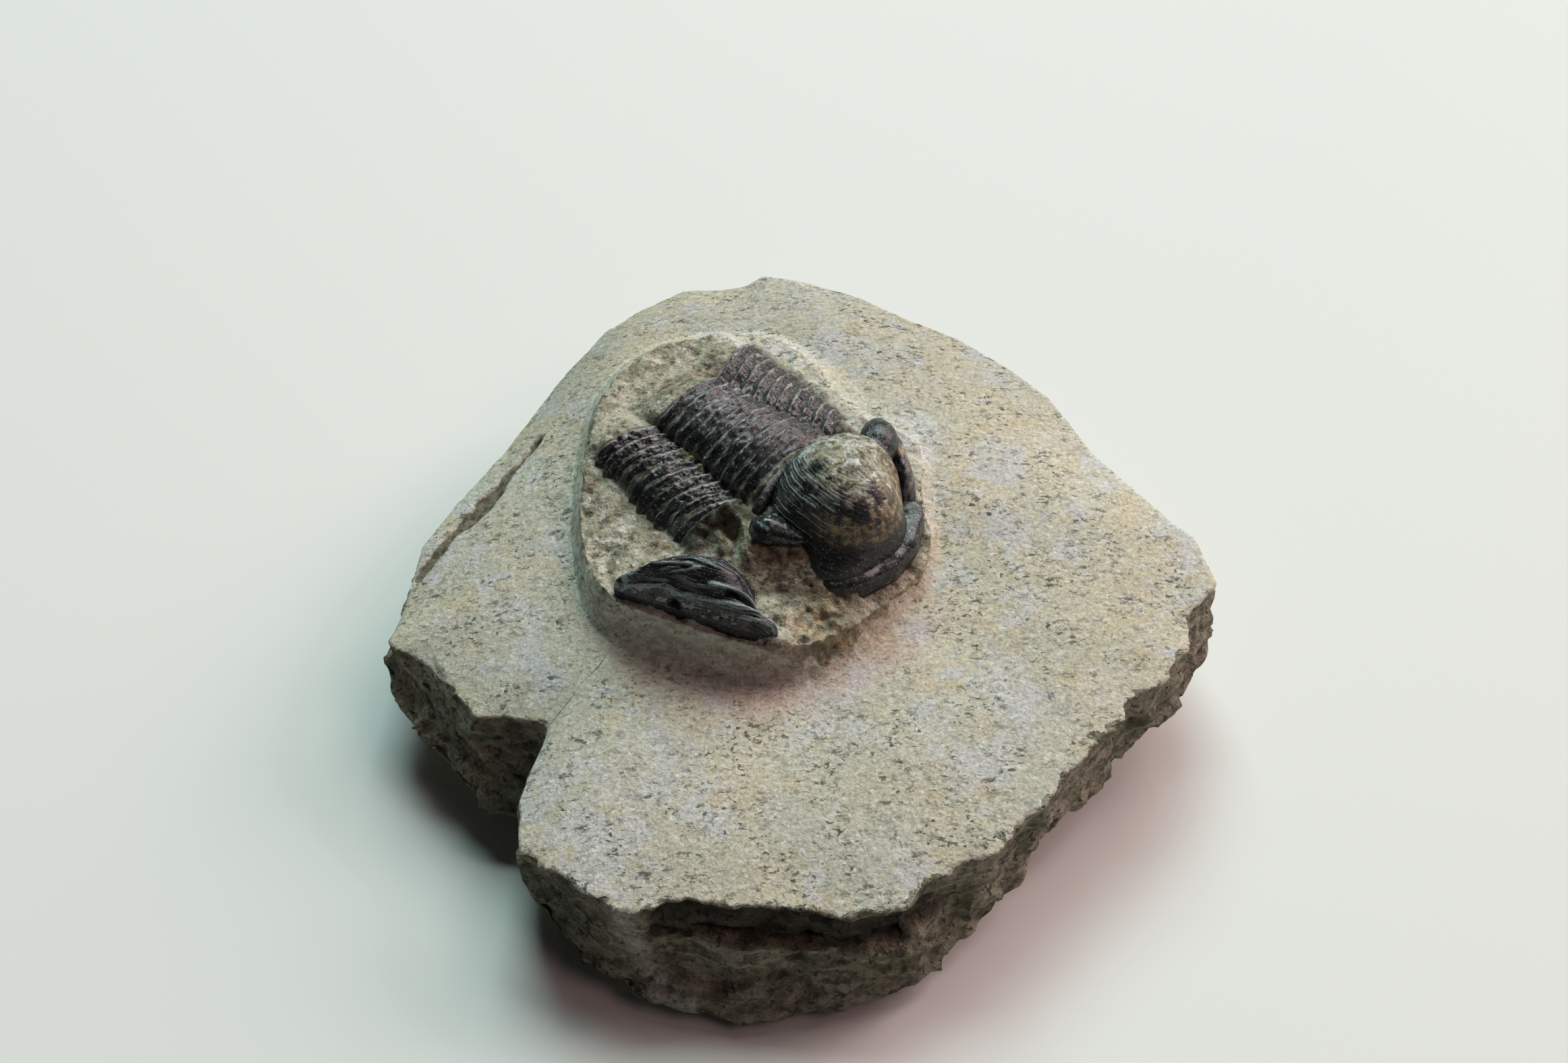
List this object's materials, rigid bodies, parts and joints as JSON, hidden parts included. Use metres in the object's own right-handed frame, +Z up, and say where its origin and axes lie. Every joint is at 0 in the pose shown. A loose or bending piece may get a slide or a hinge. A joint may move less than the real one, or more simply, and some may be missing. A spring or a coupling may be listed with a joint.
{
  "type": "gerastos trilobite fossil on its matrix stone",
  "caption": "Small trilobite fossil in dark calcite, prepared in relief on a pale limestone block with a raised pedestal, broken sides and a flat base.",
  "frame": {"origin": "middle of the stone's box, on the flat base that it lies on", "axes": "+Z up through the stone, +X to the right and +Y away from a viewer who sees the displaced cheek nearest"},
  "size_m": [0.0526, 0.0526, 0.0188],
  "materials": {
    "limestone": "matt prepared limestone, pale greenish beige with dark specks, browner on the broken sides",
    "calcite": "satin black calcite shell, worn to olive grey on its high points"
  },
  "bodies": {
    "root": {"matrix_stone": "limestone", "cranidium": "calcite", "left_free_cheek": "calcite", "right_free_cheek": "calcite", "thorax_segment_01": "calcite", "thorax_segment_02": "calcite", "thorax_segment_03": "calcite", "thorax_segment_04": "calcite", "thorax_segment_05": "calcite", "thorax_segment_06": "calcite", "thorax_segment_07": "calcite", "thorax_segment_08": "calcite", "thorax_segment_09": "calcite", "thorax_segment_10": "calcite"}
  },
  "joints": []
}
